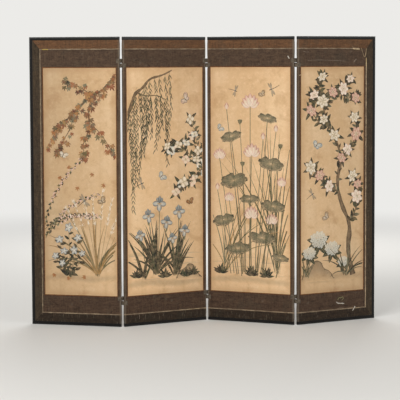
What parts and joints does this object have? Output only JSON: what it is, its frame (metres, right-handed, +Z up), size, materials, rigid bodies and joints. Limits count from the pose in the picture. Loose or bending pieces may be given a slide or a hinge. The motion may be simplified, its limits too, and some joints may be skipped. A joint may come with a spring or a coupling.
{
  "type": "folding screen",
  "caption": "Tall folding screen of cloth-bordered silk panels on papered wooden lattice cores, with black lacquered rails and crossing cloth hinges.",
  "frame": {"origin": "on the floor, at the middle of the plan of the screen as it stands", "axes": "+Z up, +X along the line from end to end, -Y on the painted side"},
  "size_m": [2.063, 0.2894, 1.7],
  "materials": {
    "core_wood": "planed softwood",
    "core_paper": "pasted mulberry paper",
    "back_paper": "dyed backing paper",
    "painted_silk": "aged plain silk",
    "inner_border_cloth": "woven brocade",
    "outer_border_cloth": "woven brocade",
    "gilt_paper": "worn gilt paper",
    "black_lacquer": "black lacquer, rubbed",
    "pin_iron": "forged",
    "hinge_cloth": "woven brocade"
  },
  "bodies": {
    "panel_1": {"panel_1_core_frame": "core_wood", "panel_1_lattice_uprights": "core_wood", "panel_1_lattice_crossbars": "core_wood", "panel_1_front_paper": "core_paper", "panel_1_back_paper": "back_paper", "panel_1_picture_silk": "painted_silk", "panel_1_inner_border": "inner_border_cloth", "panel_1_outer_border": "outer_border_cloth", "panel_1_gilt_line": "gilt_paper", "panel_1_top_rail": "black_lacquer", "panel_1_bottom_rail": "black_lacquer", "panel_1_rail_pins": "pin_iron", "panel_1_hinge_tabs": "hinge_cloth", "panel_1_side_rail": "black_lacquer", "hinge_1_left_straps": "hinge_cloth"},
    "panel_2": {"panel_2_core_frame": "core_wood", "panel_2_lattice_uprights": "core_wood", "panel_2_lattice_crossbars": "core_wood", "panel_2_front_paper": "core_paper", "panel_2_back_paper": "back_paper", "panel_2_picture_silk": "painted_silk", "panel_2_inner_border": "inner_border_cloth", "panel_2_outer_border": "outer_border_cloth", "panel_2_gilt_line": "gilt_paper", "panel_2_top_rail": "black_lacquer", "panel_2_bottom_rail": "black_lacquer", "panel_2_rail_pins": "pin_iron", "panel_2_hinge_tabs": "hinge_cloth", "hinge_1_right_straps": "hinge_cloth", "hinge_2_left_straps": "hinge_cloth"},
    "panel_3": {"panel_3_core_frame": "core_wood", "panel_3_lattice_uprights": "core_wood", "panel_3_lattice_crossbars": "core_wood", "panel_3_front_paper": "core_paper", "panel_3_back_paper": "back_paper", "panel_3_picture_silk": "painted_silk", "panel_3_inner_border": "inner_border_cloth", "panel_3_outer_border": "outer_border_cloth", "panel_3_gilt_line": "gilt_paper", "panel_3_top_rail": "black_lacquer", "panel_3_bottom_rail": "black_lacquer", "panel_3_rail_pins": "pin_iron", "panel_3_hinge_tabs": "hinge_cloth", "hinge_2_right_straps": "hinge_cloth", "hinge_3_left_straps": "hinge_cloth"},
    "panel_4": {"panel_4_core_frame": "core_wood", "panel_4_lattice_uprights": "core_wood", "panel_4_lattice_crossbars": "core_wood", "panel_4_front_paper": "core_paper", "panel_4_back_paper": "back_paper", "panel_4_picture_silk": "painted_silk", "panel_4_inner_border": "inner_border_cloth", "panel_4_outer_border": "outer_border_cloth", "panel_4_gilt_line": "gilt_paper", "panel_4_top_rail": "black_lacquer", "panel_4_bottom_rail": "black_lacquer", "panel_4_rail_pins": "pin_iron", "panel_4_hinge_tabs": "hinge_cloth", "panel_4_side_rail": "black_lacquer", "hinge_3_right_straps": "hinge_cloth"}
  },
  "joints": [
    {"name": "fold_1", "type": "hinge", "parent": "panel_2", "child": "panel_1", "pos_m": [-0.50143, -0.08346, 0.85], "axis": [0, 0, -1], "range_deg": [-44, 136], "deforming": ["hinge_1_left_straps", "hinge_1_right_straps"]},
    {"name": "fold_2", "type": "hinge", "parent": "panel_2", "child": "panel_3", "pos_m": [0.01852, 0.1284, 0.85], "axis": [0, 0, -1], "range_deg": [-54, 126], "deforming": ["hinge_2_left_straps", "hinge_2_right_straps"]},
    {"name": "fold_3", "type": "hinge", "parent": "panel_3", "child": "panel_4", "pos_m": [0.51781, -0.1284, 0.85], "axis": [0, 0, 1], "range_deg": [-54, 126], "deforming": ["hinge_3_left_straps", "hinge_3_right_straps"]}
  ]
}
